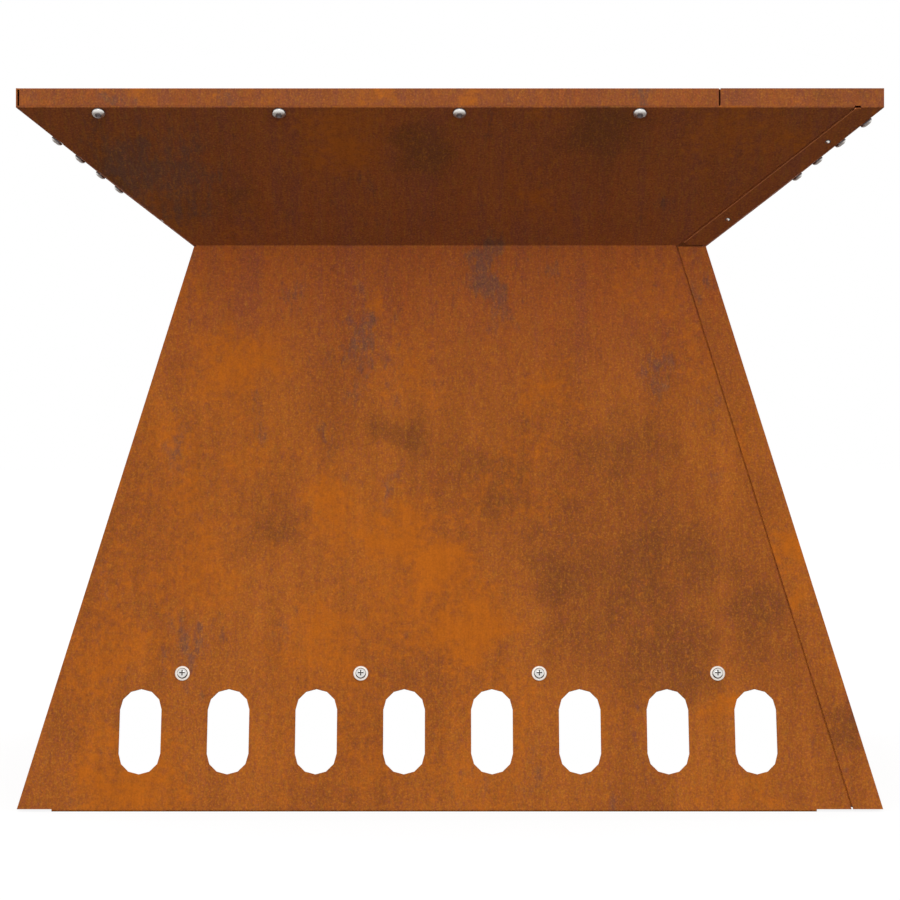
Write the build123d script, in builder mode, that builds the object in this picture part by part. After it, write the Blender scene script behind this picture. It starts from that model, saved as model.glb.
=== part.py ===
from build123d import *
import os
from math import atan2, cos, degrees, hypot, sin, sqrt, tan

os.makedirs("parts", exist_ok=True)

# Fire basket of folded weathering steel, in millimetres. A square body leans in from the foot to a
# waist and flares out again to a flat rim. Four equal folded panels and four equal rim boards go
# round the vertical axis, each turned a quarter from the last. Z is up and the ground is at zero.

# Driving dimensions of the whole basket
base_width = 600.0
waist_width = 375.0
overall_height = 500.0
waist_height = 400.0
# Height at which the funnel's outside, carried on, meets the upright plane of the rim
funnel_meets_rim = 486.7

# Sheet and bends
sheet = 1.0
inside_bend = 0.3
outside_bend = inside_bend + sheet
corner_round = 0.5
rim_bend = 0.5

# Folded edges of a side panel
foot_flange = 20.0
foot_flange_inset = 24.5
foot_relief = 1.7
wall_corner_flange = 20.0
funnel_corner_flange = 15.0
seam_gap = 1.2
waist_slit = 1.2
waist_slit_drop = 0.8
corner_relief = 3.0
hook_notch_length = 4.0
hook_notch_depth = 1.8
rim_notch_depth = 1.2
tongue_overlap = 1.5
tongue_corner_clearance = 3.5
tongue_end_clearance = 4.0

# Air slots in the leaning wall. Their ends are half twelve-sided, not round.
slot_count = 8
slot_pitch = 61.3
slot_length = 60.0
slot_width = 29.0
slot_end_sides = 12
slot_height_on_wall = 56.0
slot_row_shift = -1.4

# Screws: four in each wall for the fire plate, four under each rim board
screws_in_row = 4
screw_pitch = 125.0
wall_screw_height_on_wall = 97.0
rim_screw_from_rim = 5.0
screw_hole = 4.4
rivet_hole = 4.0
rivet_inset = 6.4
rivet_heights = (417.0, 466.0)

# Rim boards
board_width = 113.0
board_end_gap = 0.3
lip_end_gap = 1.2
lip_end_setback = 3.0
lip_corner_gap = 1.3
inner_lip = 12.0
return_flange = 14.0

# Fire plate
plate_sheet = 2.0
plate_top = 106.0
plate_skirt = 84.0
plate_corner_cut = 34.0
plate_slot_length = 126.0
plate_slot_width = 10.0
plate_slot_columns = 3
plate_slot_rows = 7
plate_slot_pitch_x = 150.0
plate_slot_pitch_y = 55.0

# Fasteners, M4. Their heads, shanks and holes are prisms of a few sides.
head_sides = 12
round_sides = 8
shank_sides = 6
floor_head_diameter = 7.2
floor_head_height = 2.4
rim_head_diameter = 9.2
rim_head_height = 2.8
screw_shank = 4.0
screw_length = 10.0
washer_diameter = 10.4
washer_thickness = 0.8
nut_sides = 6
nut_across_flats = 7.0
nut_thickness = 3.2
nut_bore = 4.1

# Derived sizes
half_base = base_width / 2
half_waist = waist_width / 2
pull_in = half_base - half_waist
wall_lean = atan2(pull_in, waist_height)
wall_slant = hypot(pull_in, waist_height)
funnel_rise = funnel_meets_rim - waist_height
funnel_slope = atan2(funnel_rise, pull_in)
funnel_slant = hypot(pull_in, funnel_rise)
past_rim = funnel_slant + 2 * sheet
lip_bottom = funnel_meets_rim + sheet / cos(funnel_slope)
corner_on_wall = atan2(pull_in, wall_slant)
corner_on_funnel = atan2(pull_in, funnel_slant)
board_end = half_base - board_width - board_end_gap
lip_end = half_base - board_width - lip_end_gap
lip_start = -half_base + sheet + lip_corner_gap
rim_row_centre = (lip_start + lip_end) / 2
quarter_turn = 90.0
side_names = ("front", "right", "back", "left")

# Working planes of the front face. Local x runs to the right and local y climbs the sheet.
wall_plane = Plane(
    origin=(0, -half_base, 0),
    x_dir=(1, 0, 0),
    z_dir=(0, -cos(wall_lean), sin(wall_lean)),
)
funnel_plane = Plane(
    origin=(0, -half_waist, waist_height),
    x_dir=(1, 0, 0),
    z_dir=(0, -sin(funnel_slope), -cos(funnel_slope)),
)
left_mitre = Plane(origin=(0, 0, 0), x_dir=(0, 0, 1), z_dir=(1, -1, 0))
right_mitre = Plane(origin=(0, 0, 0), x_dir=(0, 0, 1), z_dir=(-1, -1, 0))


def wall_line(inset, slant):
    """Point on the leaning wall, inset square to the right-hand corner edge, at a slant height."""
    return (half_base - slant * pull_in / wall_slant - inset / cos(corner_on_wall), slant)


def funnel_line(inset, slant):
    """Point on the funnel wall, inset square to the right-hand corner edge, at a slant height."""
    return (half_waist + slant * pull_in / funnel_slant - inset / cos(corner_on_funnel), slant)


def wall_at_height(height):
    """Slant distance up the leaning wall of a height above the ground."""
    return height / cos(wall_lean)


def funnel_at_height(height):
    """Slant distance up the funnel wall of a height above the ground."""
    return (height - waist_height) / sin(funnel_slope)


def outer_corner_at(height):
    """X of the outer left-hand corner edge at a height, on the leaning wall or on the funnel."""
    if height < waist_height:
        return -half_base + height * pull_in / waist_height
    return -half_waist - (height - waist_height) / tan(funnel_slope)


def turned(plane, turns):
    """The same plane, carried round the vertical axis by a number of quarter turns."""
    return Plane(Location((0, 0, 0), (0, 0, quarter_turn * turns)) * plane.location)


def inside_half_width(height):
    """Distance from the vertical axis to the inside of the leaning walls at a height."""
    return half_base - height * pull_in / waist_height - sheet / cos(wall_lean)


rivet_places = [funnel_line(rivet_inset, funnel_at_height(height)) for height in rivet_heights]

# The section that a side panel is folded to: foot flange, wall, waist bend and funnel wall.
with BuildSketch(Plane.YZ) as panel_section:
    with BuildLine():
        FilletPolyline(
            (-half_base + foot_flange, 0),
            (-half_base, 0),
            (-half_waist, waist_height),
            (
                -half_waist - past_rim * cos(funnel_slope),
                waist_height + past_rim * sin(funnel_slope),
            ),
            radius=[outside_bend, inside_bend],
        )
        offset(amount=sheet, side=Side.RIGHT)
    make_face()
    # The funnel's edge is cut upright, in line with the outer lip of the rim board that sits on it.
    with Locations((-half_base, waist_height)):
        Rectangle(base_width, waist_height, align=(Align.MAX, Align.MIN), mode=Mode.SUBTRACT)

# Corner flange, drawn in the right-hand strip of the front face. It belongs to the next panel.
with BuildPart() as corner_flange:
    extrude(panel_section.sketch, amount=half_base)
    split(bisect_by=right_mitre, keep=Keep.TOP)
    with BuildSketch(Plane.XY):
        with Locations((half_base, -half_base)):
            Rectangle(base_width, 4 * foot_flange)
    extrude(amount=foot_relief, mode=Mode.SUBTRACT)
    with BuildSketch(wall_plane):
        with BuildLine():
            Polyline(
                (0, 0),
                wall_line(wall_corner_flange, 0),
                wall_line(wall_corner_flange, wall_slant),
                (0, wall_slant),
                close=True,
            )
        make_face()
    extrude(amount=2 * sheet, both=True, mode=Mode.SUBTRACT)
    with BuildSketch(funnel_plane):
        with BuildLine():
            Polyline(
                (0, -sheet),
                funnel_line(funnel_corner_flange, -sheet),
                funnel_line(funnel_corner_flange, past_rim),
                (0, past_rim),
                close=True,
            )
        make_face()
        waist_notch = funnel_at_height(waist_height + waist_slit_drop)
        with Locations(funnel_line(funnel_corner_flange, waist_notch)):
            Rectangle(2 * hook_notch_length, 2 * hook_notch_depth)
        with Locations(funnel_line(funnel_corner_flange, funnel_slant - rim_notch_depth)):
            Rectangle(2 * hook_notch_length, 4 * sheet, align=(Align.CENTER, Align.MIN))
    extrude(amount=2 * sheet, both=True, mode=Mode.SUBTRACT)
    with BuildSketch(Plane.XY.offset(waist_height - waist_slit_drop)):
        with Locations((half_waist, -half_waist)):
            Rectangle(base_width, foot_flange)
    extrude(amount=waist_slit, mode=Mode.SUBTRACT)
    with BuildSketch(funnel_plane):
        with Locations(rivet_places):
            RegularPolygon(rivet_hole / 2, round_sides, major_radius=False)
    extrude(amount=2 * sheet, both=True, mode=Mode.SUBTRACT)

# One side panel, drawn at the front
with BuildPart() as side_panel:
    extrude(panel_section.sketch, amount=half_base, both=True)
    split(bisect_by=left_mitre, keep=Keep.TOP)
    # Everything beyond the seam on the right is the next panel's flange.
    with BuildSketch(wall_plane):
        with BuildLine():
            Polyline(
                wall_line(wall_corner_flange + seam_gap, -foot_flange),
                wall_line(wall_corner_flange + seam_gap, wall_slant),
                (base_width, wall_slant),
                (base_width, -foot_flange),
                close=True,
            )
        make_face()
    extrude(amount=2 * foot_flange, both=True, mode=Mode.SUBTRACT)
    with BuildSketch(funnel_plane):
        with BuildLine():
            Polyline(
                funnel_line(funnel_corner_flange + seam_gap, -sheet),
                funnel_line(funnel_corner_flange + seam_gap, past_rim),
                (base_width, past_rim),
                (base_width, -sheet),
                close=True,
            )
        make_face()
    extrude(amount=foot_flange, both=True, mode=Mode.SUBTRACT)
    # The foot flange stops short of both ends, and the wall's edge is lifted there by its bend.
    panel_end = wall_line(wall_corner_flange + seam_gap, 0)[0]
    with BuildSketch(Plane.XY):
        with Locations((-half_base, -half_base), (panel_end, -half_base)):
            Rectangle(2 * foot_flange_inset, 4 * foot_flange)
    extrude(amount=foot_relief, mode=Mode.SUBTRACT)
    # The corner flange wraps round the left corner on to the next face.
    add(corner_flange.part.rotate(Axis.Z, -quarter_turn))
    # The slit at the waist runs on through the corner, where three bends meet.
    with BuildSketch(Plane.XY.offset(waist_height - waist_slit_drop)):
        with Locations((-half_waist, -half_waist)):
            Rectangle(corner_relief, corner_relief)
    extrude(amount=waist_slit, mode=Mode.SUBTRACT)
    # Tongues set in by one sheet pass behind the neighbour's corner flange.
    with BuildSketch(wall_plane.offset(-sheet)):
        with BuildLine():
            tongue_low = wall_at_height(tongue_end_clearance)
            tongue_high = wall_slant - tongue_end_clearance
            tongue_start = wall_corner_flange + seam_gap + tongue_overlap
            Polyline(
                wall_line(tongue_start, tongue_low),
                wall_line(tongue_corner_clearance, tongue_low),
                wall_line(tongue_corner_clearance, tongue_high),
                wall_line(tongue_start, tongue_high),
                close=True,
            )
        make_face()
    extrude(amount=-sheet)
    with BuildSketch(funnel_plane.offset(-sheet)):
        with BuildLine():
            tongue_high = funnel_slant - tongue_end_clearance
            tongue_start = funnel_corner_flange + seam_gap + tongue_overlap
            Polyline(
                funnel_line(tongue_start, tongue_end_clearance),
                funnel_line(tongue_corner_clearance, tongue_end_clearance),
                funnel_line(tongue_corner_clearance, tongue_high),
                funnel_line(tongue_start, tongue_high),
                close=True,
            )
        make_face()
    extrude(amount=-sheet)
    # Air slots, and the holes for the fire plate's screws
    with BuildSketch(wall_plane):
        with Locations((slot_row_shift, slot_height_on_wall)):
            with GridLocations(slot_pitch, slot_pitch, slot_count, 1):
                Rectangle(slot_width, slot_length - slot_width)
            with GridLocations(slot_pitch, slot_length - slot_width, slot_count, 2):
                RegularPolygon(slot_width / 2, slot_end_sides)
        with Locations((0, wall_screw_height_on_wall)):
            with GridLocations(screw_pitch, screw_pitch, screws_in_row, 1):
                RegularPolygon(screw_hole / 2, shank_sides)
    extrude(amount=2 * sheet, both=True, mode=Mode.SUBTRACT)
    # Holes for the rim's screws, and the rivet holes carried on through the tongue
    with BuildSketch(funnel_plane):
        with Locations((rim_row_centre, funnel_slant - rim_screw_from_rim)):
            with GridLocations(screw_pitch, screw_pitch, screws_in_row, 1):
                RegularPolygon(screw_hole / 2, shank_sides)
        with Locations(rivet_places):
            RegularPolygon(rivet_hole / 2, round_sides, major_radius=False)
    extrude(amount=2 * sheet, both=True, mode=Mode.SUBTRACT)
    # The bend at the left corner is rounded on its outside.
    corner_bends = side_panel.edges().filter_by(
        lambda edge: edge.length > foot_flange
        and abs((edge @ 0).X - (edge @ 0).Y) < sheet / 100
        and (edge @ 0.5).X < outer_corner_at((edge @ 0.5).Z) + sheet / 2
    )
    fillet(corner_bends, corner_round)

# The section of a rim board: inner lip, flat ledge, outer lip and the flange returned along the funnel
with BuildSketch(Plane.YZ.offset(-half_base)) as board_section:
    with BuildLine():
        FilletPolyline(
            (-half_base + board_width, overall_height - inner_lip),
            (-half_base + board_width, overall_height),
            (-half_base, overall_height),
            (-half_base, lip_bottom),
            (
                -half_base + return_flange * cos(funnel_slope),
                lip_bottom - return_flange * sin(funnel_slope),
            ),
            radius=rim_bend,
        )
        offset(amount=sheet, side=Side.LEFT)
    make_face()

# One rim board, drawn at the front. Its left end is the rim's corner, its right end butts its neighbour.
with BuildPart() as rim_board:
    extrude(board_section.sketch, amount=half_base + board_end)
    # Under the ledge the folded lips stop short of the corner and of the neighbouring board.
    with BuildSketch(Plane.XY.offset(overall_height - sheet)):
        with Locations((-half_base, -half_base)):
            Rectangle(lip_start + half_base, 2 * board_width, align=(Align.MIN, Align.CENTER))
        with Locations((lip_end, -half_base)):
            Rectangle(board_end, 3 * board_width, align=(Align.MIN, Align.CENTER))
    extrude(amount=-2 * return_flange, mode=Mode.SUBTRACT)
    # The seam in front runs up through the ledge's outer edge.
    with BuildSketch(Plane.XY.offset(overall_height)):
        with Locations((lip_end, -half_base)):
            Rectangle(board_end, 2 * lip_end_setback, align=(Align.MIN, Align.CENTER))
    extrude(amount=-2 * sheet, mode=Mode.SUBTRACT)
    # Mitred ends of the return flange
    with BuildSketch(funnel_plane):
        for end, inward in ((lip_start, 1), (lip_end, -1)):
            with BuildLine():
                Polyline(
                    (end - inward * sheet, funnel_slant - sheet),
                    (end + inward * sheet, funnel_slant - sheet),
                    (end + inward * 2 * return_flange, funnel_slant - 2 * return_flange),
                    (end - inward * sheet, funnel_slant - 2 * return_flange),
                    close=True,
                )
            make_face()
        # The rim's screws form their own thread in these holes.
        with Locations((rim_row_centre, funnel_slant - rim_screw_from_rim)):
            with GridLocations(screw_pitch, screw_pitch, screws_in_row, 1):
                RegularPolygon(screw_shank / 2, shank_sides)
    extrude(amount=-3 * sheet, mode=Mode.SUBTRACT)
    # The end lip closes the corner, and the other end has a lip between the two long ones.
    with BuildSketch(Plane.XY.offset(overall_height)):
        with Locations((-half_base, -half_base)):
            Rectangle(sheet, board_width, align=(Align.MIN, Align.MIN))
        with Locations((lip_end, -half_base + board_width / 2)):
            Rectangle(
                sheet,
                board_width - 2 * (sheet + lip_corner_gap),
                align=(Align.MAX, Align.CENTER),
            )
    extrude(amount=lip_bottom - overall_height)

# Fire plate: a flat perforated plate with skirts that lie against the four walls
with BuildPart() as fire_plate:
    with BuildSketch(Plane.XY.offset(plate_skirt)):
        Rectangle(2 * inside_half_width(plate_skirt), 2 * inside_half_width(plate_skirt))
    extrude(amount=plate_top - plate_skirt, taper=degrees(wall_lean))
    offset(amount=-plate_sheet, openings=fire_plate.faces().sort_by(Axis.Z)[0])
    clipped = (2 * inside_half_width(plate_top) - plate_corner_cut) / sqrt(2)
    with BuildSketch(Plane.XY.offset(plate_skirt)):
        Rectangle(2 * clipped, 2 * clipped, rotation=quarter_turn / 2)
    extrude(amount=plate_top, mode=Mode.INTERSECT)
    with BuildSketch(Plane.XY.offset(plate_top)):
        with GridLocations(
            plate_slot_pitch_x, plate_slot_pitch_y, plate_slot_columns, plate_slot_rows
        ):
            Rectangle(plate_slot_length, plate_slot_width)
    extrude(amount=-2 * plate_sheet, mode=Mode.SUBTRACT)
    for turns in range(len(side_names)):
        with BuildSketch(turned(wall_plane, turns)):
            with Locations((0, wall_screw_height_on_wall)):
                with GridLocations(screw_pitch, screw_pitch, screws_in_row, 1):
                    RegularPolygon(screw_hole / 2, shank_sides)
        extrude(amount=-3 * plate_sheet, mode=Mode.SUBTRACT)

# The fire plate's screw, with its head's seat at zero and the shank pointing down
with BuildPart() as floor_screw:
    with BuildSketch(Plane.XY):
        RegularPolygon(floor_head_diameter / 2, head_sides)
    extrude(amount=floor_head_height)
    chamfer(floor_screw.faces().sort_by(Axis.Z)[-1].edges(), floor_head_height / 2)
    with BuildSketch(Plane.XY):
        RegularPolygon(screw_shank / 2, shank_sides)
    extrude(amount=-screw_length)

# The rim's screw, which has a wider head and no washer
with BuildPart() as rim_screw:
    with BuildSketch(Plane.XY):
        RegularPolygon(rim_head_diameter / 2, head_sides)
    extrude(amount=rim_head_height)
    chamfer(rim_screw.faces().sort_by(Axis.Z)[-1].edges(), rim_head_height / 2)
    with BuildSketch(Plane.XY):
        RegularPolygon(screw_shank / 2, shank_sides)
    extrude(amount=-screw_length)

with BuildPart() as washer:
    with BuildSketch(Plane.XY):
        RegularPolygon(washer_diameter / 2, head_sides)
        RegularPolygon(screw_hole / 2, shank_sides, mode=Mode.SUBTRACT)
    extrude(amount=washer_thickness)

with BuildPart() as nut:
    with BuildSketch(Plane.XY):
        RegularPolygon(nut_across_flats / 2, nut_sides, major_radius=False)
        RegularPolygon(nut_bore / 2, shank_sides, mode=Mode.SUBTRACT)
    extrude(amount=-nut_thickness)


def row_of(fastener, plane, centre):
    """Four of a fastener in a row on a plane, as separate solids."""
    with BuildPart(plane) as row:
        with Locations(centre):
            with GridLocations(screw_pitch, screw_pitch, screws_in_row, 1):
                add(fastener.part)
    return row.part


wall_row = (0, wall_screw_height_on_wall)
rim_row = (rim_row_centre, funnel_slant - rim_screw_from_rim)
quarter_parts = {
    "side_panel": side_panel.part,
    "rim_board": rim_board.part,
    "floor_screws": row_of(floor_screw, wall_plane.offset(washer_thickness), wall_row),
    "floor_washers": row_of(washer, wall_plane, wall_row),
    "floor_nuts": row_of(nut, wall_plane.offset(-sheet - plate_sheet), wall_row),
    "rim_screws": row_of(rim_screw, funnel_plane, rim_row),
}

# Every quarter of the basket is the front one, turned about the vertical axis.
for turns, side in enumerate(side_names):
    for name, drawn_at_front in quarter_parts.items():
        piece = drawn_at_front.rotate(Axis.Z, quarter_turn * turns)
        piece.label = name + "_" + side
        export_step(piece, "parts/" + piece.label + ".step")

fire_plate.part.label = "fire_plate"
export_step(fire_plate.part, "parts/fire_plate.step")
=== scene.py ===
import math
from collections import namedtuple

import bpy
import numpy as np
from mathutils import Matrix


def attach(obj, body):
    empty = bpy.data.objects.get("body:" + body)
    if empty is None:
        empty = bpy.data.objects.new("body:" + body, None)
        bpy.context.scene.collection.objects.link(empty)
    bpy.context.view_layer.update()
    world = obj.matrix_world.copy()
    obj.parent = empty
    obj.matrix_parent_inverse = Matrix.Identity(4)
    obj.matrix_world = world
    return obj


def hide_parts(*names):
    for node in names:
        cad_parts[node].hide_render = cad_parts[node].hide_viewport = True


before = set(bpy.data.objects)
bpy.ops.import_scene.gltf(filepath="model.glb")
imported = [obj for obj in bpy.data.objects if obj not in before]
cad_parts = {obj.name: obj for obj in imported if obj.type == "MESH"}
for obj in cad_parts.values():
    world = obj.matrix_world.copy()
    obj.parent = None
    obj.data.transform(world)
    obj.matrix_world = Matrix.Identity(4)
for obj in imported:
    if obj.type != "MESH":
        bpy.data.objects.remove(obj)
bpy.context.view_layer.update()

# Driving dimensions of the basket, in metres, the same as the frame's
HALF_BASE = 0.300
HALF_WAIST = 0.1875
WAIST_HEIGHT = 0.400
FUNNEL_MEETS_RIM = 0.4867
BOARD_WIDTH = 0.113
LIP_START = 0.0023
LIP_END_GAP = 0.0012
CORNER_FLANGE = 0.015
SHEET = 0.001
PLATE_SHEET = 0.002

# Slants that follow from them
PULL_IN = HALF_BASE - HALF_WAIST
WALL_LEAN = math.atan2(PULL_IN, WAIST_HEIGHT)
FUNNEL_RISE = FUNNEL_MEETS_RIM - WAIST_HEIGHT
FUNNEL_SLOPE = math.atan2(FUNNEL_RISE, PULL_IN)
FUNNEL_SLANT = math.hypot(PULL_IN, FUNNEL_RISE)
CORNER_ON_FUNNEL = math.atan2(PULL_IN, FUNNEL_SLANT)

# The sides, each a quarter turn on from the one before
SIDES = ("front", "right", "back", "left")

# Rows of four fasteners on each side. The rim's row is centred on its board's outer lip
SCREWS_IN_ROW = 4
SCREW_PITCH = 0.125
FLOOR_ROW_SLANT = 0.097
RIM_ROW_FROM_RIM = 0.005
RIM_ROW_CENTRE = ((-HALF_BASE + LIP_START) + (HALF_BASE - BOARD_WIDTH - LIP_END_GAP)) / 2

# Floor screws have a pan head with a cross recess, and rim screws a button head with a hexagon socket
FLOOR_HEAD_RADIUS = 0.0036
FLOOR_HEAD_HEIGHT = 0.0024
FLOOR_HEAD_SIDE = 0.0012
CROSS_HALF_WIDTH = 0.00042
CROSS_REACH = 0.0020
RIM_HEAD_RADIUS = 0.00475
RIM_HEAD_HEIGHT = 0.0031
RIM_HEAD_SIDE = 0.0006
SOCKET_ACROSS_FLATS = 0.0042
RECESS_DEPTH = 0.0013
SHANK_RADIUS = 0.002
SHANK_LENGTH = 0.010
SHANK_INTO_HEAD = 0.0002
THREAD_PITCH = 0.0007
THREAD_DEPTH = 0.0004

# Washers and nuts of the floor screws
WASHER_OUTER = 0.0052
WASHER_INNER = 0.0022
WASHER_THICKNESS = 0.0008
NUT_ACROSS_FLATS = 0.007
NUT_THICKNESS = 0.0032
NUT_CHAMFER = math.radians(30)

# Two blind rivets through each corner flange of the funnel, the stem a step proud and the sleeve a step in
RIVET_HEIGHTS = (0.417, 0.466)
RIVET_INSET = 0.0064
RIVET_STEM_RADIUS = 0.0012
RIVET_SLEEVE_RADIUS = 0.00195
RIVET_STEP = 0.0002
RIVET_TAIL_RADIUS = 0.003
RIVET_TAIL_BULGE = 0.3


# Mesh building

def mesh_object(name, points, faces, shaded_faces=None):
    """A mesh object at the origin from arrays of points and quads. Faces marked for painted shade get slot
    two.
    """
    sharpest_smooth_edge = math.radians(35)
    mesh = bpy.data.meshes.new(name)
    mesh.from_pydata(points.tolist(), [], [list(dict.fromkeys(face)) for face in faces.tolist()])
    mesh.shade_smooth()
    mesh.set_sharp_from_angle(angle=sharpest_smooth_edge)
    if shaded_faces is not None:
        mesh.polygons.foreach_set("material_index", shaded_faces.astype(np.int32))
    piece = bpy.data.objects.new(name, mesh)
    bpy.context.scene.collection.objects.link(piece)
    return piece


def turned_form(radius, height, turns, ring=False):
    """Points and quads of a form on a grid of profile rows and turns about its axis.

    x = radius cos(angle), y = radius sin(angle), z = height, where radius and height may differ from one
    angle to the next. A first or last row of no radius is welded to one point. With ring, the last row joins
    the first.
    """
    no_radius = 1e-9
    angle = np.linspace(0, 2 * np.pi, turns, endpoint=False)
    rows = len(radius)
    radius, height = (np.broadcast_to(part, (rows, turns)) for part in (radius, height))
    points = np.stack([radius * np.cos(angle), radius * np.sin(angle), height], axis=-1)
    i = np.arange(rows if ring else rows - 1)[:, None]
    j = np.arange(turns)[None, :]
    low, high, step = i * turns, ((i + 1) % rows) * turns, (j + 1) % turns
    quads = np.stack([low + j, high + j, high + step, low + step], axis=-1).reshape(-1, 4)
    weld = np.arange(rows * turns)
    for row in (0, rows - 1):
        if np.abs(radius[row]).max() < no_radius:
            weld[row * turns:(row + 1) * turns] = row * turns
    return points.reshape(-1, 3), weld[quads]


def joined(*forms):
    """Several forms as one: their points and quads one after the other, and a mark on the quads of painted
    shade.
    """
    points, quads, shaded_faces, start = [], [], [], 0
    for form_points, form_quads, mark in forms:
        points.append(form_points)
        quads.append(form_quads + start)
        shaded_faces.append(np.broadcast_to(mark, len(form_quads)))
        start += len(form_points)
    return np.concatenate(points), np.concatenate(quads), np.concatenate(shaded_faces)


def placed(form, origin, across, outward, seats):
    """Copies of a form on a plane, one at each seat (x, y) of it.

    A point of a copy is origin + x across + y upward + z outward, where upward = outward x across.
    """
    points, quads, shaded_faces = form
    across, outward = np.array(across), np.array(outward)
    upward = np.cross(outward, across)
    axes = np.stack([across, upward, outward])
    return joined(*((np.array(origin) + (points + [x, y, 0]) @ axes, quads, shaded_faces) for x, y in seats))


def quarter_turned(points, turns):
    """Points turned about the vertical axis by quarter turns, each of which takes (x, y) to (-y, x)."""
    x, y, z = points.T
    for _ in range(turns):
        x, y = -y, x
    return np.stack([x, y, z], axis=-1)


def lifted(form, height):
    """The same form moved out along its own axis."""
    points, quads, shaded_faces = form
    return points + [0, 0, height], quads, shaded_faces


# Fasteners

# Rows of a head's dome, as shares of the way from the edge of its recess to its rim
DOME_SHARES = (0, 0.12, 0.3, 0.5, 0.7, 0.85, 0.95, 1.0)


def head(radius, height, side, recess, shade_from):
    """A screw's head: a dome with a recess, on an upright side, closed underneath.

    The dome's height is side + (height - side) sqrt(1 - share of the radius squared). recess holds the
    recess's own radius at each angle: its floor, its wall and its edge keep that shape, and outside it the
    rows blend evenly from that shape to the round rim. The recess is marked for painted shade, and so is the
    dome from the given share outwards, a painted shadow where the head meets what it sits on.
    """
    def dome(share):
        return side + (height - side) * np.sqrt(np.clip(1 - share ** 2, 0, 1))

    zero = 0 * recess
    edge = recess / radius
    recess_floor = zero + height - RECESS_DEPTH
    floor_share, wall_share, wall_drop = 0.72, 0.96, 0.06 * height
    half_side, underside = side * 0.5, radius * 0.94
    recess_rows = [(zero, recess_floor), (recess * floor_share, recess_floor)]
    recess_rows += [(recess * wall_share, dome(edge) - wall_drop)]
    blends = [edge + (1 - edge) * share for share in DOME_SHARES]
    dome_rows = [(blend * radius, dome(blend)) for blend in blends]
    side_rows = [(zero + radius, zero + half_side), (zero + underside, zero), (zero, zero)]
    radii, heights = (np.stack(part) for part in zip(*recess_rows, *dome_rows, *side_rows))
    turns = len(recess)
    points, quads = turned_form(radii, heights, turns)
    row_of_quad = np.repeat(np.arange(len(radii) - 1), turns)
    first_shaded = len(recess_rows) + DOME_SHARES.index(shade_from)
    return points, quads, (row_of_quad < len(recess_rows)) | (row_of_quad >= first_shaded)


def cross(half_width, reach):
    """Radius of a cross at each angle: the smaller of its reach and half width / sin(angle from an arm)."""
    turns, never_zero = 64, 1e-6
    angle = np.linspace(0, 2 * np.pi, turns, endpoint=False)
    from_arm = np.abs((angle + np.pi / 4) % (np.pi / 2) - np.pi / 4)
    return np.minimum(reach, half_width / np.maximum(np.sin(from_arm), never_zero))


def hexagon(across_flats):
    """Radius of a hexagon at each angle: half its width across flats / cos(angle from a flat's middle)."""
    turns = 48
    angle = np.linspace(0, 2 * np.pi, turns, endpoint=False)
    return across_flats / 2 / np.cos(angle % (np.pi / 3) - np.pi / 6)


def shank():
    """A threaded shank that points down.

    Its radius is a triangle wave of depth and angle, so that the crest climbs one pitch in a turn. The wave
    fades out at the tip.
    """
    rows, turns = 58, 24
    angle = np.linspace(0, 2 * np.pi, turns, endpoint=False)
    depth = np.linspace(-SHANK_INTO_HEAD, SHANK_LENGTH, rows)[:, None]
    wave = np.abs(((depth / THREAD_PITCH + angle / (2 * np.pi)) % 1) * 2 - 1)
    fade = np.clip((SHANK_LENGTH - depth) / THREAD_PITCH, 0, 1)
    thread = SHANK_RADIUS - THREAD_DEPTH * (1 - wave * fade)
    cap = np.zeros((1, turns))
    radius = np.concatenate([cap, thread, cap])
    depth = depth + np.zeros(turns)
    height = -np.concatenate([depth[:1], depth, depth[-1:]])
    return *turned_form(radius, height, turns), False


def washer():
    """A flat ring with a painted shadow round its bore, under the head's edge. Its section is a rounded
    rectangle, |u|^6 + |v|^6 = 1.
    """
    rows, turns = 20, 48
    angle = np.linspace(0, 2 * np.pi, rows, endpoint=False)[:, None]
    u, v = (np.sign(part) * np.abs(part) ** (1 / 3) for part in (np.cos(angle), np.sin(angle)))
    radius = (WASHER_OUTER + WASHER_INNER) / 2 + u * (WASHER_OUTER - WASHER_INNER) / 2
    points, quads = turned_form(radius, WASHER_THICKNESS / 2 * (1 + v), turns, ring=True)
    row_of_quad = np.repeat(np.arange(rows), turns)
    shaded_bore_side = (row_of_quad >= rows / 4) & (row_of_quad < rows * 3 / 4)
    return points, quads[:, ::-1], shaded_bore_side


def nut():
    """A hexagon nut with a round bore, whose corners are cut by a cone at both ends.

    The cone's radius is the end's radius + distance from the end / tan(chamfer angle).
    """
    end_share, depth_shares = 0.98, np.array([0, 0.05, 0.1, 0.16, 0.84, 0.9, 0.95, 1.0])
    flats = hexagon(NUT_ACROSS_FLATS)
    turns = len(flats)
    end_radius = NUT_ACROSS_FLATS / 2 * end_share
    depth = NUT_THICKNESS * depth_shares[:, None]
    from_end = np.minimum(depth, NUT_THICKNESS - depth)
    cone = end_radius + from_end / math.tan(NUT_CHAMFER)
    bore = np.full((2, turns), SHANK_RADIUS)
    bore_ends = np.broadcast_to([[-NUT_THICKNESS], [0]], (2, turns))
    radius = np.concatenate([np.minimum(flats, cone), bore])
    height = np.concatenate([np.broadcast_to(-depth, (len(depth), turns)), bore_ends])
    return *turned_form(radius, height, turns, ring=True), False


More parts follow.
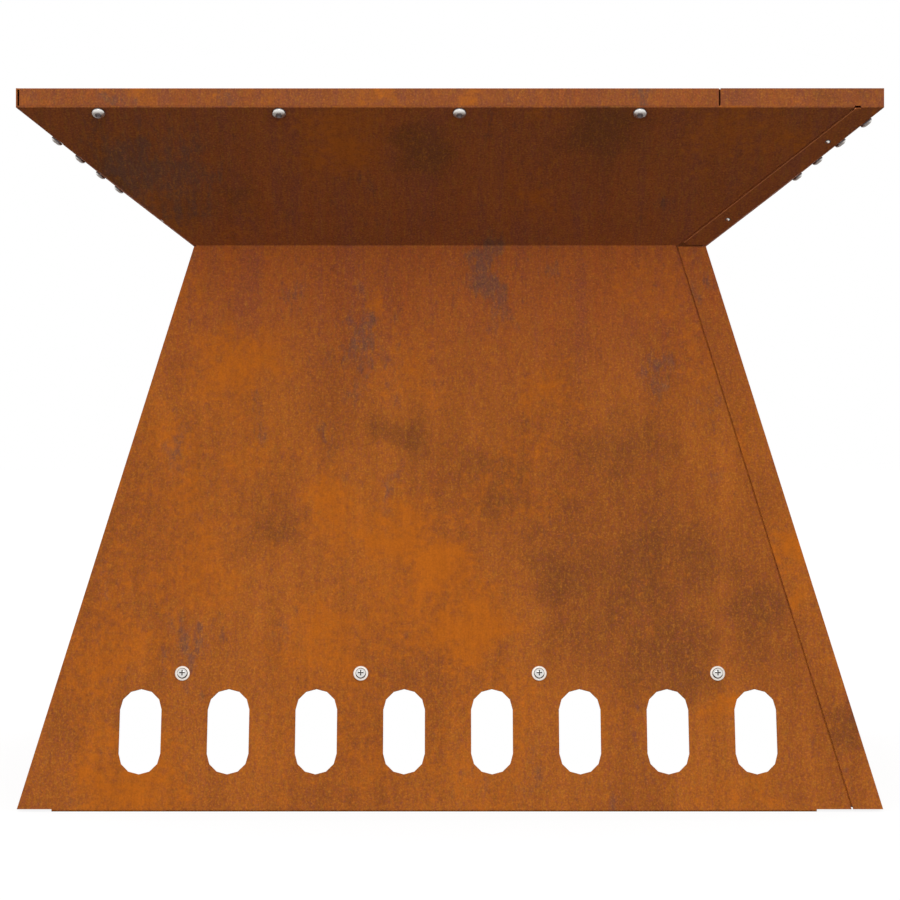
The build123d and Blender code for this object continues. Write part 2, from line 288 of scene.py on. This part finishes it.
def corner_rivet():
    """A blind rivet through both sheets of a corner: a bright stem in a sleeve of painted shade, and a tail
    inside.

    The tail is a flat dome: radius = widest cos(bend), depth = bulge widest sin(bend) beyond the sheets.
    """
    rows_of_tail, turns, flat_share = 6, 24, 0.7
    bend = np.linspace(0, np.pi / 2, rows_of_tail)
    tail_radius = RIVET_TAIL_RADIUS * np.cos(bend)
    tail_height = -2 * SHEET - RIVET_TAIL_BULGE * RIVET_TAIL_RADIUS * np.sin(bend)
    stem, sleeve = RIVET_STEM_RADIUS, RIVET_SLEEVE_RADIUS
    stem_rows = [(0, RIVET_STEP), (flat_share * stem, RIVET_STEP), (stem, 0)]
    sleeve_rows = [(stem, -RIVET_STEP), (sleeve, -RIVET_STEP), (sleeve, -2 * SHEET)]
    front_radius, front_height = np.array(stem_rows + sleeve_rows).T
    radius = np.concatenate([front_radius, tail_radius[:-1], [0]])[:, None]
    height = np.concatenate([front_height, tail_height])[:, None]
    row_of_quad = np.repeat(np.arange(len(radius) - 1), turns)
    return *turned_form(radius, height, turns), row_of_quad >= len(stem_rows) - 1


def screw_row(centre, climb):
    """Seats of a row of fasteners, level on its plane."""
    middle = (SCREWS_IN_ROW - 1) / 2
    return [(centre + (k - middle) * SCREW_PITCH, climb) for k in range(SCREWS_IN_ROW)]


def rivet_seat(height):
    """Seat of a rivet on the funnel, square in from its right-hand corner edge."""
    climb = (height - WAIST_HEIGHT) / math.sin(FUNNEL_SLOPE)
    corner_edge = HALF_WAIST + climb * PULL_IN / FUNNEL_SLANT
    return corner_edge - RIVET_INSET / math.cos(CORNER_ON_FUNNEL), climb


def make_fasteners(bright, stamped, shaded_below, shade_steel, rim_head_shade):
    """Detailed screws, washers and nuts in place of the plain ones, and the corner rivets, on all sides."""
    level = (1, 0, 0)
    out_of_wall = (0, -math.cos(WALL_LEAN), math.sin(WALL_LEAN))
    out_of_funnel = (0, -math.sin(FUNNEL_SLOPE), -math.cos(FUNNEL_SLOPE))
    wall = ((0, -HALF_BASE, 0), level, out_of_wall)
    funnel = ((0, -HALF_WAIST, WAIST_HEIGHT), level, out_of_funnel)

    cross_recess = cross(CROSS_HALF_WIDTH, CROSS_REACH)
    hexagon_socket = hexagon(SOCKET_ACROSS_FLATS)
    floor_head = head(FLOOR_HEAD_RADIUS, FLOOR_HEAD_HEIGHT, FLOOR_HEAD_SIDE, cross_recess, shade_from=0.85)
    rim_head = head(RIM_HEAD_RADIUS, RIM_HEAD_HEIGHT, RIM_HEAD_SIDE, hexagon_socket, shade_from=0.95)
    floor_screw = lifted(joined(floor_head, shank()), WASHER_THICKNESS)
    rim_screw = joined(rim_head, shank())
    floor_nut = lifted(nut(), -SHEET - PLATE_SHEET)

    floor_row = screw_row(0, FLOOR_ROW_SLANT)
    rim_row = screw_row(RIM_ROW_CENTRE, FUNNEL_SLANT - RIM_ROW_FROM_RIM)
    rivet_seats = [rivet_seat(height) for height in RIVET_HEIGHTS]
    kinds = {
        "floor_screws": (floor_screw, wall, floor_row, bright, shade_steel),
        "floor_washers": (washer(), wall, floor_row, stamped, shade_steel),
        "floor_nuts": (floor_nut, wall, floor_row, bright, shade_steel),
        "rim_screws": (rim_screw, funnel, rim_row, shaded_below, rim_head_shade),
        "corner_rivets": (corner_rivet(), funnel, rivet_seats, bright, shade_steel),
    }
    for kind, (form, plane, seats, clear, shade_material) in kinds.items():
        points, quads, shaded_faces = placed(form, *plane, seats)
        for turns, side in enumerate(SIDES):
            piece = mesh_object(f"{kind}_{side}_detailed", quarter_turned(points, turns), quads, shaded_faces)
            # Slot two holds a dark steel: painted shade in recesses and where parts meet
            piece.data.materials.append(clear)
            piece.data.materials.append(shade_material)
            if kind != "corner_rivets":
                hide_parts(f"{kind}_{side}")
            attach(piece, "root")


# Materials

def linear(hex_colour):
    """An sRGB hex colour as linear red, green, blue and alpha."""
    values = [int(hex_colour[i:i + 2], 16) / 255 for i in (1, 3, 5)]
    return [v / 12.92 if v <= 0.04045 else ((v + 0.055) / 1.055) ** 2.4 for v in values] + [1.0]


def per(millimetres):
    """Texture scale that gives features of that size on coordinates in metres."""
    return 1000 / millimetres


def add(owner, kind, inputs=(), **settings):
    """Adds a node to a material or world, with its settings and inputs, and gives its outputs.

    inputs is a list in the order of the node's sockets, or a dictionary by their names or numbers. Another
    node's output is linked, and anything else is set as the socket's value.
    """
    tree = owner.node_tree
    node = tree.nodes.new("ShaderNode" + kind)
    for setting, value in settings.items():
        setattr(node, setting, value)
    if not isinstance(inputs, dict):
        inputs = dict(enumerate(inputs))
    for socket, value in inputs.items():
        if isinstance(value, bpy.types.NodeSocket):
            tree.links.new(value, node.inputs[socket])
        else:
            node.inputs[socket].default_value = value
    return node.outputs


def new_material(name):
    """A material with an empty node tree."""
    material = bpy.data.materials.new(name)
    material.use_nodes = True
    material.node_tree.nodes.clear()
    return material


# A Map Range node's setting that eases it in and out. Its inputs are a value, where it begins and is full,
# and what it gives there
SMOOTH = {"interpolation_type": "SMOOTHSTEP"}

# Marks on weathering steel: orange bloom, mill scale that the rust hasn't eaten yet, and darker damp
BLOOM = "bloom"
SCALE = "scale"
DAMP = "damp"

# Each noise of the rust: the coordinates that it lies on, its size in millimetres, its detail and its
# roughness. Powdery rust has grains of about 0.2 mm. They are drawn at 1.3 to 2.2 mm so that they show,
# because a pixel of the photograph covers 0.7 mm
NOISES = {
    "grain": ("even", 1.4, 2, 0.6),
    "dust": ("even", 1.3, 2, 0.6),
    "pits": ("even", 2.2, 3, 0.8),
    "breakup": ("even", 6.0, 6, 0.72),
    "bloom_clouds": ("even", 75, 4, 0.55),
    "damp_clouds": ("even", 64, 3, 0.5),
    "hues": ("streaked", 2.2, 4, 0.7),
    "streak_breakup": ("streaked", 5.0, 5, 0.7),
    "scale_clouds": ("streaked", 42, 5, 0.6),
    "clouds": ("streaked", 60, 4, 0.55),
    "lines": ("brushed", 1.3, 2, 0.6),
    "runs": ("brushed", 10.0, 5, 0.68),
}

# How much the height counts, where the width counts 1, in streaked and in brushed noise
STREAKED = 0.4
BRUSHED = 0.08

# Each mark: the clouds that it follows, where they begin and are full, and how strong they make it. Then
# how much of that is left on a sheet with chosen places, and how much the height counts in the distance
# from a place. Last, the noise that ruffles its edge, and how much
Mark = namedtuple("Mark", "clouds begins full strength beside_places height_counts ruffled_by ruffle")
MARKS = {
    BLOOM: Mark("bloom_clouds", 0.50, 0.66, 0.8, 0.45, 1.0, "breakup", 2.0),
    SCALE: Mark("scale_clouds", 0.55, 0.70, 0.8, 0.50, STREAKED, "streak_breakup", 2.6),
    DAMP: Mark("damp_clouds", 0.52, 0.70, 1.0, 0.35, 1.0, "breakup", 0.8),
}

# How far below and above the waist's bend the look of the wall goes over to that of the funnel
HALF_BEND = 0.002

# The coat's layers, over the first rust, and last a painted highlight. Each: what it follows, where that
# begins and is full, how much of it shows there, which part of the basket it lies on, and its colour
FIRST_RUST = "#8C4914"
Layer = namedtuple("Layer", "follows begins full cover where colour")
LAYERS = (
    Layer("clouds", 0.38, 0.64, 1.00, "everywhere", "#9E5516"),
    Layer("runs", 0.46, 0.62, 0.70, "upper half", "#743B24"),
    Layer("runs", 0.46, 0.34, 0.50, "upper half", "#B0561A"),
    Layer("height", 0.26, 0.38, 0.28, "everywhere", "#944028"),
    Layer(DAMP, 0.10, 1.00, 0.80, "everywhere", "#6F3B14"),
    Layer(SCALE, 0.20, 1.05, 0.75, "everywhere", "#5C3D34"),
    Layer("streak_breakup", 0.54, 0.74, 0.42, "everywhere", "#733A1F"),
    Layer("breakup", 0.56, 0.74, 0.40, "everywhere", "#AE5F0B"),
    Layer("hues", 0.48, 0.68, 0.45, "everywhere", "#843F26"),
    Layer("hues", 0.52, 0.32, 0.45, "everywhere", "#9E6018"),
    Layer("dust", 0.50, 0.70, 0.16, "everywhere", "#DC9240"),
    Layer("dust", 0.50, 0.32, 0.24, "everywhere", "#6C4640"),
    Layer(BLOOM, 0.05, 1.05, 0.88, "everywhere", "#AC5A0A"),
    Layer("height", WAIST_HEIGHT - HALF_BEND, WAIST_HEIGHT + HALF_BEND, 0.10, "everywhere", "#445848"),
    # A painted highlight along the lit cut edge of a corner flange
    Layer("edge_highlight", 0.00, 1.00, 0.80, "everywhere", "#C87C4C"),
)

# The painted highlight along the lit cut edge of a corner flange: how far in from that edge it begins and
# ends
HIGHLIGHT_FROM = 0.0002
HIGHLIGHT_TO = 0.0009

# Places where a mark stands out on the front: x, height and radius in millimetres, and strength. A place
# fades out at a distance of FADE_RADII radii
FADE_RADII = 1.8
PATCHES = {
    "side_panel_front": {
        BLOOM: ((-154, 310, 36, 0.8), (-83, 200, 28, 0.7), (-41, 186, 28, 0.9), (-14, 162, 26, 0.9),
                (-87, 110, 38, 0.7), (12, 125, 30, 0.9), (-40, 130, 40, 0.6), (-224, 20, 34, 0.9),
                (72, 298, 18, 0.45), (194, 72, 14, 0.7), (-53, 354, 14, 0.5), (-190, 230, 80, 0.3),
                (-70, 50, 70, 0.4), (-150, 385, 18, 0.35), (-86, 464, 32, 0.55), (190, 470, 34, 0.55),
                (60, 440, 18, 0.45), (-249, 109, 36, 0.35), (-227, 186, 36, 0.3), (-122, 388, 12, 0.45),
                (237, 473, 19, 0.5), (215, 15, 14, 0.5)),
        SCALE: ((31, 380, 17, 1.0), (-196, 245, 11, 0.7), (150, 306, 10, 0.75), (-185, 115, 16, 0.7),
                (-70, 330, 14, 0.6), (190, 291, 10, 0.5), (-43, 223, 9, 0.75), (-120, 135, 10, 0.5),
                (-118, 376, 12, 0.5), (-32, 120, 9, 0.6), (228, 150, 9, 0.5), (70, 385, 12, 0.45),
                (-215, 450, 44, 0.9), (40, 470, 14, 0.5), (150, 430, 14, 0.5)),
        DAMP: ((-36, 262, 20, 1.0), (-133, 200, 22, 0.7), (34, 234, 26, 0.9), (120, 250, 32, 0.8),
               (63, 198, 14, 0.8), (80, 163, 26, 1.0), (129, 163, 40, 1.0), (150, 105, 40, 1.0),
               (214, 135, 28, 0.9), (135, 150, 85, 0.6), (107, 471, 32, 1.0), (-16, 463, 26, 1.0),
               (-150, 430, 24, 0.7), (-233, 455, 38, 0.8), (-199, 420, 28, 0.7)),
    },
    "side_panel_right": {
        BLOOM: ((241, 177, 16, 0.9), (247, 144, 12, 0.7), (208, 248, 14, 0.5)),
        SCALE: ((185, 369, 12, 0.5),),
        DAMP: ((277, 62, 20, 1.0), (230, 125, 15, 0.8)),
    },
    "rim_board_front": {
        BLOOM: ((-221, 497, 12, 0.7), (-48, 497, 12, 0.7), (12, 497, 9, 0.7)),
        SCALE: ((-240, 495, 12, 0.8), (30, 497, 9, 0.5), (136, 497, 12, 0.7)),
        DAMP: (),
    },
}


def down_the_sheet(steel, coordinates):
    """Coordinates in which streaks run straight down a sheet, whichever way it faces.

    They are the sheet's level direction, a little of its depth, and the height. A sheet that lies flat keeps
    all of its depth.
    """
    lies_flat_above, depth_left = 0.9, 0.08
    x, y, z = add(steel, "SeparateXYZ", [coordinates])
    facing = add(steel, "SeparateXYZ", [add(steel, "TexCoord")["Normal"]])
    facing = [add(steel, "Math", [part], operation="ABSOLUTE")[0] for part in facing]
    faces_x = add(steel, "Math", [facing[0], facing[1]], operation="GREATER_THAN")[0]
    swap = add(steel, "Math", [y, x], operation="SUBTRACT")[0]
    swap = add(steel, "Math", [swap, faces_x], operation="MULTIPLY")[0]
    level = add(steel, "Math", [x, swap], operation="ADD")[0]
    depth = add(steel, "Math", [y, swap], operation="SUBTRACT")[0]
    lies_flat = add(steel, "Math", [facing[2], lies_flat_above], operation="GREATER_THAN")[0]
    kept = add(steel, "Math", [lies_flat, 1 - depth_left, depth_left], operation="MULTIPLY_ADD")[0]
    depth = add(steel, "Math", [depth, kept], operation="MULTIPLY")[0]
    return add(steel, "CombineXYZ", [level, depth, z])[0]


def patch_mask(steel, coordinates, places, height_counts):
    """The strongest of several soft patches on the front, at each point.

    A patch has its strength in its middle and fades smoothly to nothing. coordinates have the height already
    multiplied by height_counts.
    """
    strongest = 0.0
    for x, height, radius, strength in places:
        x, height, radius = x / 1000, height / 1000, radius / 1000
        leaning = HALF_BASE - height * math.tan(WALL_LEAN)
        flaring = HALF_WAIST + (height - WAIST_HEIGHT) / math.tan(FUNNEL_SLOPE)
        depth = leaning if height < WAIST_HEIGHT else min(HALF_BASE, flaring)
        middle = (x, -depth, height * height_counts)
        gap = add(steel, "VectorMath", [coordinates, middle], operation="DISTANCE")["Value"]
        patch = add(steel, "MapRange", [gap, 0.0, radius * FADE_RADII, strength, 0.0], **SMOOTH)[0]
        strongest = add(steel, "Math", [strongest, patch], operation="MAXIMUM")[0]
    return strongest


def edge_highlight_band(steel, coordinates, edge_normal):
    """1 on a narrow band beside the cut edge of a corner flange on the funnel, where a highlight is painted,
    and 0 elsewhere.

    Every such edge lies in an upright plane, a x + b y = -flange width / cos(corner angle), where (a, b) is
    its edge_normal, each of them 1 or -1.
    """
    across = add(steel, "VectorMath", [coordinates, edge_normal], operation="DOT_PRODUCT")["Value"]
    across = add(steel, "Math", [across, math.cos(CORNER_ON_FUNNEL)], operation="MULTIPLY")[0]
    height = add(steel, "SeparateXYZ", [coordinates])["Z"]
    tests = (
        (across, "GREATER_THAN", HIGHLIGHT_FROM - CORNER_FLANGE),
        (across, "LESS_THAN", HIGHLIGHT_TO - CORNER_FLANGE),
        (height, "GREATER_THAN", WAIST_HEIGHT),
    )
    band = 1.0
    for value, test, limit in tests:
        passed = add(steel, "Math", [value, limit], operation=test)[0]
        band = add(steel, "Math", [band, passed], operation="MULTIPLY")[0]
    return band


def rust_noises(steel, coordinates, offset):
    """The height and every noise of the rust, by name, and the coordinates that the even noises lie on.

    offset gives each sheet its own stretch of noise.
    """
    down = down_the_sheet(steel, coordinates)
    ways = {"even": (coordinates, 1), "streaked": (down, STREAKED), "brushed": (down, BRUSHED)}
    moved = {}
    for way, (along, height_counts) in ways.items():
        placing = {"Vector": along, "Location": offset, "Scale": (1, 1, height_counts)}
        moved[way] = add(steel, "Mapping", placing)[0]
    fields = {"height": add(steel, "SeparateXYZ", [coordinates])["Z"]}
    for name, (way, size, detail, roughness) in NOISES.items():
        pattern = {"Vector": moved[way], "Scale": per(size), "Detail": detail, "Roughness": roughness}
        fields[name] = add(steel, "TexNoise", pattern)["Fac"]
    return fields, moved["even"]


def wandering(steel, coordinates, even):
    """Coordinates pushed about by up to 35 mm either way, so that no patch's outline is round."""
    push, bend_size = 0.035, 30
    wander = add(steel, "TexNoise", {"Vector": even, "Scale": per(bend_size), "Detail": 4})["Color"]
    wander = add(steel, "VectorMath", [wander, [2 * push] * 3, [-push] * 3], operation="MULTIPLY_ADD")[0]
    return add(steel, "VectorMath", [coordinates, wander], operation="ADD")[0]


def add_marks(steel, fields, near, places):
    """Adds the three marks to the fields: soft clouds, any chosen places, and a ruffled edge.

    A mark is strength times clouds, plus ruffle times (noise less a half). With chosen places the clouds are
    multiplied by beside_places as well, and the places are added.
    """
    for name, mark in MARKS.items():
        cloud = [fields[mark.clouds], mark.begins, mark.full, 0.0, mark.strength]
        field = add(steel, "MapRange", cloud, **SMOOTH)[0]
        if places:
            measured = add(steel, "VectorMath", [near, (1, 1, mark.height_counts)], operation="MULTIPLY")[0]
            chosen = patch_mask(steel, measured, places[name], mark.height_counts)
            field = add(steel, "Math", [field, mark.beside_places, chosen], operation="MULTIPLY_ADD")[0]
        field = add(steel, "Math", [field, mark.ruffle / 2], operation="SUBTRACT")[0]
        ruffled = [fields[mark.ruffled_by], mark.ruffle, field]
        fields[name] = add(steel, "Math", ruffled, operation="MULTIPLY_ADD")[0]


def rust_colour(steel, fields):
    """The layers' colours over each other, and how much of each layer shows, by what it follows."""
    upper_half_begins = 0.25
    upper_half = add(steel, "MapRange", [fields["height"], upper_half_begins, WAIST_HEIGHT], **SMOOTH)[0]
    colour = linear(FIRST_RUST)
    shown = {}
    for layer in LAYERS:
        if layer.follows not in fields:
            continue
        growth = [fields[layer.follows], layer.begins, layer.full, 0.0, layer.cover]
        share = add(steel, "MapRange", growth, **SMOOTH)[0]
        if layer.where == "upper half":
            share = add(steel, "Math", [share, upper_half], operation="MULTIPLY")[0]
        colours = {0: share, 6: colour, 7: linear(layer.colour)}
        colour = add(steel, "Mix", colours, data_type="RGBA")[2]
        shown[layer.follows] = share
    return colour, shown


def rust_shade(steel, fields, bloom_share, level):
    """How light the rust is at each point: the noises' swings about the level, and dark pits.

    The grain is calmer where bloom covers it. Above the waist all the swings are larger.
    """
    grain_swing, grain_under_bloom = 0.90, 0.60
    swings = (("breakup", 0.32), ("runs", 0.50), ("lines", 0.20))
    more_on_funnel = 0.22
    pits_begin, pits_full, pit_shade = 0.66, 0.76, 0.72

    calm = add(steel, "MapRange", [bloom_share, 0.0, 1.0, grain_swing, grain_under_bloom], **SMOOTH)[0]
    shade = add(steel, "Math", [fields["grain"], 0.5], operation="SUBTRACT")[0]
    shade = add(steel, "Math", [shade, calm], operation="MULTIPLY")[0]
    for name, swing in swings:
        part = add(steel, "Math", [fields[name], swing, -swing / 2], operation="MULTIPLY_ADD")[0]
        shade = add(steel, "Math", [shade, part], operation="ADD")[0]
    bend = [fields["height"], WAIST_HEIGHT - HALF_BEND, WAIST_HEIGHT + HALF_BEND]
    on_funnel = add(steel, "MapRange", bend, **SMOOTH)[0]
    contrast = add(steel, "Math", [on_funnel, more_on_funnel, 1.0], operation="MULTIPLY_ADD")[0]
    shade = add(steel, "Math", [shade, contrast, level], operation="MULTIPLY_ADD")[0]
    pits = add(steel, "MapRange", [fields["pits"], pits_begin, pits_full, 1.0, pit_shade], **SMOOTH)[0]
    return add(steel, "Math", [shade, pits], operation="MULTIPLY")[0]


def weathering_steel(name, offset, places=None, edge_normal=None, level=1.11, tint="#FFFFFF"):
    """Weathering steel with its first full coat of rust.

    The eye sees dull orange-brown in soft clouds, brighter orange bloom, streaks of grey-violet mill scale
    that the rust hasn't eaten yet, darker damp marks, and the fine grain of a powdery surface. In places the
    bloom, scale and damp marks are stronger than the noise alone makes them. edge_normal asks for a painted
    highlight along the panel's corner flange, level sets how light the whole sheet is, and tint dirties it.
    """
    steel = new_material(name)
    coordinates = add(steel, "TexCoord")["Object"]
    fields, even = rust_noises(steel, coordinates, offset)
    near = wandering(steel, coordinates, even) if places else None
    add_marks(steel, fields, near, places)
    if edge_normal:
        # Painted highlight beside the corner flange's lit cut edge
        fields["edge_highlight"] = edge_highlight_band(steel, coordinates, edge_normal)

    colour, shown = rust_colour(steel, fields)
    shade = rust_shade(steel, fields, shown[BLOOM], level)
    colour = add(steel, "VectorMath", {0: colour, "Scale": shade}, operation="SCALE")[0]
    colour = add(steel, "VectorMath", [colour, linear(tint)[:3]], operation="MULTIPLY")[0]

    powder, bare_scale, relief_depth = 0.88, 0.70, 0.0002
    roughness = add(steel, "MapRange", [shown[SCALE], 0.0, 1.0, powder, bare_scale], **SMOOTH)[0]
    relief = add(steel, "Math", [fields["grain"], 0.5, fields["breakup"]], operation="MULTIPLY_ADD")[0]
    bump = add(steel, "Bump", {"Height": relief, "Strength": 0.3, "Distance": relief_depth})[0]
    look = {"Base Color": colour, "Roughness": roughness, "Specular IOR Level": 0.18, "Normal": bump}
    shader = add(steel, "BsdfPrincipled", look)[0]
    add(steel, "OutputMaterial", [shader])
    return steel


def stainless_steel(name, bright, dark, roughness, shade_below_height=None):
    """A2 stainless steel, cold headed and tumbled: soft bright reflections over faint drawing marks.

    Real drawing marks are about 0.1 mm apart, and are drawn at 0.5 mm so that they show. The lower half of
    each head gets a painted shade, grey and less metallic, from just above the given height downwards.
    """
    mark_size, mark_depth, rougher_marks = 0.5, 0.00005, 0.12
    shade_above, shade_below, shade_metallic, shade_grey = 0.0008, 0.0018, 0.4, "#A0968F"
    steel = new_material(name)
    coordinates = add(steel, "TexCoord")["Object"]
    marks = add(steel, "TexNoise", {"Vector": coordinates, "Scale": per(mark_size), "Detail": 2})["Fac"]
    spread = add(steel, "MapRange", [marks, 0.0, 1.0, roughness, roughness + rougher_marks])[0]
    tone = add(steel, "Mix", {0: marks, 6: linear(bright), 7: linear(dark)}, data_type="RGBA")[2]
    metallic = 1.0
    # Painted shade: grey and less metallic on the lower half of each head
    if shade_below_height:
        height = add(steel, "SeparateXYZ", [coordinates])["Z"]
        lower_half = [height, shade_below_height - shade_below, shade_below_height + shade_above, 1.0, 0.0]
        lower_shade = add(steel, "MapRange", lower_half, **SMOOTH)[0]
        tone = add(steel, "Mix", {0: lower_shade, 6: tone, 7: linear(shade_grey)}, data_type="RGBA")[2]
        metallic = add(steel, "MapRange", [lower_shade, 0.0, 1.0, 1.0, shade_metallic])[0]
    bump = add(steel, "Bump", {"Height": marks, "Strength": 0.1, "Distance": mark_depth})[0]
    look = {"Base Color": tone, "Metallic": metallic, "Roughness": spread, "Normal": bump}
    shader = add(steel, "BsdfPrincipled", look)[0]
    add(steel, "OutputMaterial", [shader])
    return steel


def assign(node, material):
    """Gives a CAD node a material through its object's slots."""
    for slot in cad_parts[node].material_slots:
        slot.material = material


def rust_the_sheets():
    """Gives every panel, every rim board and the fire plate its own stretch of rust."""
    panel_step = np.array([0.37, 0.91, 0.53])
    board_start, board_step = np.array([2.1, 1.7, 0]), np.array([0.31, 0, 0.43])
    plate_offset = (4.3, 2.9, 1.1)
    lighter, smoky = 1.25, "#B8AEA8"
    front_edge = np.array([[1, -1, 0]])
    for turns, side in enumerate(SIDES):
        panel, board = f"side_panel_{side}", f"rim_board_{side}"
        panel_offset = (turns * panel_step).tolist()
        board_offset = (board_start + turns * board_step).tolist()
        edge = quarter_turned(front_edge, turns)[0].tolist()
        steel = weathering_steel(f"weathering_steel_{panel}", panel_offset, PATCHES.get(panel), edge)
        assign(panel, steel)
        steel = weathering_steel(f"weathering_steel_{board}", board_offset, PATCHES.get(board), level=lighter)
        assign(board, steel)
    assign("fire_plate", weathering_steel("weathering_steel_fire_plate", plate_offset, tint=smoky))


# Stage, light and camera

def white_to_the_eye(name, matt, glow):
    """Pale paper that is plain white where it is seen or mirrored.

    matt is the share of the light on it that it throws back, less in the basket's shadow. glow is the light
    that is added where it is seen or mirrored.
    """
    paper = new_material(name)
    path = add(paper, "LightPath")
    seen = add(paper, "Math", [path["Is Camera Ray"], path["Is Glossy Ray"]], operation="MAXIMUM")[0]
    seen = add(paper, "Math", [seen, path["Is Transmission Ray"]], operation="MAXIMUM")[0]
    strength = add(paper, "Math", [seen, glow], operation="MULTIPLY")[0]
    matt_side = add(paper, "BsdfDiffuse", {"Color": (matt, matt, matt, 1)})[0]
    lit_side = add(paper, "Emission", {"Color": (1, 1, 1, 1), "Strength": strength})[0]
    shader = add(paper, "AddShader", [matt_side, lit_side])[0]
    add(paper, "OutputMaterial", [shader])
    return paper


def studio_floor():
    """A level sheet, far wider than the view."""
    reach = 30.0
    corners = np.array([[-reach, -reach, 0], [reach, -reach, 0], [reach, reach, 0], [-reach, reach, 0]])
    floor = mesh_object("studio_floor", corners, np.array([[0, 1, 2, 3]]))
    floor.data.materials.append(white_to_the_eye("pale_studio_floor", matt=0.11, glow=0.88))


def slot_backdrop():
    """Four upright white cards under the fire plate.

    The photograph shows plain white through the air slots, where a basket on a floor would show the dark
    inside of its far wall.
    """
    half, low, high = 0.262, 0.003, 0.088
    corners = np.array([[-half, -half], [half, -half], [half, half], [-half, half]])
    points = np.concatenate([np.c_[corners, np.full(4, height)] for height in (low, high)])
    k = np.arange(4)
    after = (k + 1) % 4
    card = mesh_object("slot_backdrop", points, np.stack([k, after, after + 4, k + 4], axis=-1))
    card.data.materials.append(white_to_the_eye("white_card", matt=0.0, glow=1.0))


def studio_world(brightness):
    """An even white surround.

    It is plain white where it is seen or mirrored, and brighter as light on matt surfaces.
    """
    world = bpy.data.worlds.new("studio_surround")
    world.use_nodes = True
    bpy.context.scene.world = world
    background = world.node_tree.nodes["Background"]
    background.inputs["Color"].default_value = (1, 1, 1, 1)
    on_matt = add(world, "LightPath")["Is Diffuse Ray"]
    strength = add(world, "MapRange", [on_matt, 0.0, 1.0, 1.0, brightness])[0]
    world.node_tree.links.new(strength, background.inputs["Strength"])


def softbox(place, width, height, watts):
    """A wide soft lamp that faces the middle of the basket."""
    lamp = bpy.data.lights.new("softbox", "AREA")
    lamp.shape = "RECTANGLE"
    lamp.size = width
    lamp.size_y = height
    lamp.energy = watts
    item = bpy.data.objects.new("softbox", lamp)
    item.location = place
    middle = np.array([0, 0, 0.25])
    x, y, z = middle - np.array(place)
    tilt = math.acos(-z / math.sqrt(x * x + y * y + z * z))
    item.rotation_euler = (tilt, 0, math.atan2(y, x) - math.pi / 2)
    bpy.context.scene.collection.objects.link(item)


def photo_camera():
    """The photograph's view: level, square to the front, a quarter of a metre up."""
    distance, height = 2.138, 0.250
    focal_pixels, frame_pixels, sensor = 2660, 900, 36.0
    data = bpy.data.cameras.new("photo_camera")
    data.sensor_width = sensor
    data.lens = focal_pixels / frame_pixels * sensor
    item = bpy.data.objects.new("photo_camera", data)
    item.location = (0, -distance, height)
    item.rotation_euler = (math.pi / 2, 0, 0)
    bpy.context.scene.collection.objects.link(item)
    bpy.context.scene.camera = item


make_fasteners(
    bright=stainless_steel("stainless_steel_tumbled", "#EAE7E2", "#D6D3CE", 0.16),
    stamped=stainless_steel("stainless_steel_stamped", "#E2D9D0", "#CFC5BC", 0.30),
    # Rim screw heads: bright above, with a painted shade on their lower half
    shaded_below=stainless_steel("stainless_steel_shaded_below", "#F4F2EE", "#DCDAD6", 0.14, shade_below_height=0.4840),
    # Dark steels for painted shade in recesses, round head rims and round washer bores
    shade_steel=stainless_steel("stainless_steel_painted_shade", "#635C59", "#4E4845", 0.40),
    rim_head_shade=stainless_steel("stainless_steel_rim_head_shade", "#7C7576", "#5E5859", 0.45),
)
rust_the_sheets()

studio_floor()
slot_backdrop()
studio_world(brightness=1.45)
softbox(place=(-0.1, -2.7, 1.58), width=1.1, height=0.35, watts=4.0)
photo_camera()
bpy.context.scene.view_settings.view_transform = "Standard"
